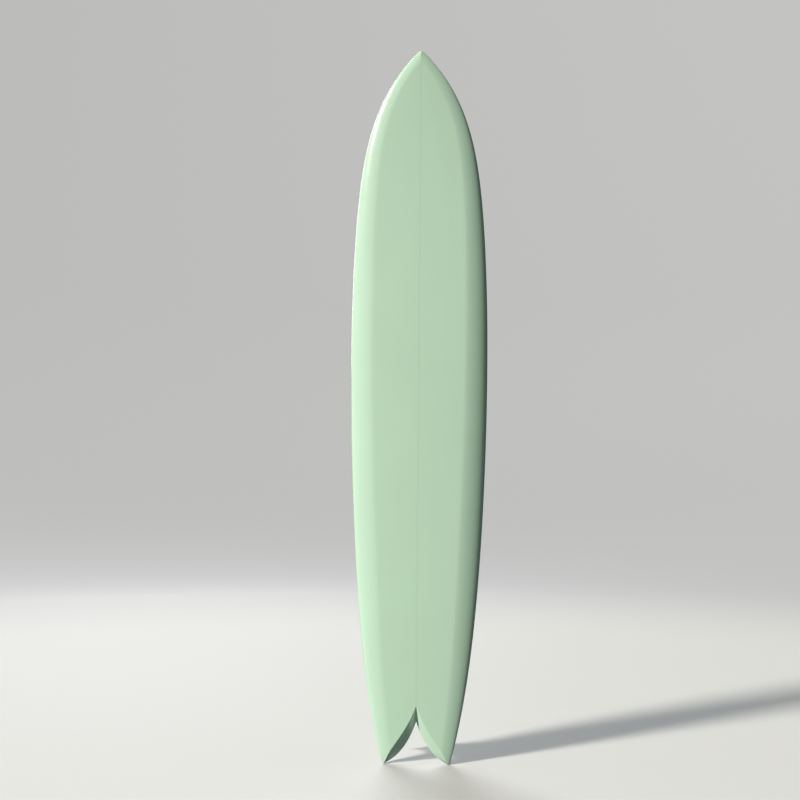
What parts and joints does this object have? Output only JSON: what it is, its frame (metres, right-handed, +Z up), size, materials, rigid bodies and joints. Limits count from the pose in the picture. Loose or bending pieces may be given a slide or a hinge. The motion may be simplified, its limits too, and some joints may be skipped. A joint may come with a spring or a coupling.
{
  "type": "fish-tailed surfboard",
  "caption": "Long, wide surfboard with a pointed nose and a deep swallow tail, glassed over a foam blank with a wooden stringer, with removable keel fins held in boxes by grub screws.",
  "frame": {"origin": "midway between the two tail tips, on the level that they stand on, in the plane of the stringer", "axes": "+Z up along the board from tail to nose, +X to the side, +Y out of the bottom with the fins, so that the deck faces -Y"},
  "size_m": [0.5796, 0.1967, 2.9843],
  "materials": {
    "deck_resin": "polished",
    "bottom_resin": "polished",
    "glass_cloth": "satin",
    "white_foam": "matte",
    "dense_foam": "matte",
    "stringer_wood": "matte",
    "fin_box_plastic": "satin",
    "fin_fibreglass": "gloss",
    "stainless_steel": "satin"
  },
  "bodies": {
    "board": {"stringer": "stringer_wood", "foam_left": "white_foam", "foam_right": "white_foam", "deck_patch": "glass_cloth", "bottom_laminate": "bottom_resin", "deck_laminate": "deck_resin", "bottom_filler_coat": "bottom_resin", "swallow_facing": "deck_resin", "nose_tip": "deck_resin", "tail_tip_left": "deck_resin", "tail_tip_right": "deck_resin", "fin_pad_left": "dense_foam", "fin_pad_right": "dense_foam", "fin_box_left": "fin_box_plastic", "fin_box_right": "fin_box_plastic"},
    "left_fin": {"fin_left": "fin_fibreglass"},
    "right_fin": {"fin_right": "fin_fibreglass"},
    "left_front_screw": {"fin_screw_left_front": "stainless_steel"},
    "left_rear_screw": {"fin_screw_left_rear": "stainless_steel"},
    "right_front_screw": {"fin_screw_right_front": "stainless_steel"},
    "right_rear_screw": {"fin_screw_right_rear": "stainless_steel"}
  },
  "joints": [
    {"name": "left_fin_pull", "type": "slide", "parent": "board", "child": "left_fin", "axis": [0, 0.9962, -0.0869], "range_m": [0, 0.04]},
    {"name": "right_fin_pull", "type": "slide", "parent": "board", "child": "right_fin", "axis": [0, 0.9962, -0.0869], "range_m": [0, 0.04]},
    {"name": "left_front_screw_turn", "type": "hinge", "parent": "board", "child": "left_front_screw", "pos_m": [-0.11828, 0.03022, 0.29517], "axis": [0.6426, 0.7617, -0.0833], "range_deg": [0, 810]},
    {"name": "left_rear_screw_turn", "type": "hinge", "parent": "board", "child": "left_rear_screw", "pos_m": [-0.12195, 0.01806, 0.15575], "axis": [0.6426, 0.7617, -0.0833], "range_deg": [0, 810]},
    {"name": "right_front_screw_turn", "type": "hinge", "parent": "board", "child": "right_front_screw", "pos_m": [0.11828, 0.03022, 0.29517], "axis": [-0.6426, 0.7617, -0.0833], "range_deg": [0, 810]},
    {"name": "right_rear_screw_turn", "type": "hinge", "parent": "board", "child": "right_rear_screw", "pos_m": [0.12195, 0.01806, 0.15575], "axis": [-0.6426, 0.7617, -0.0833], "range_deg": [0, 810]}
  ]
}
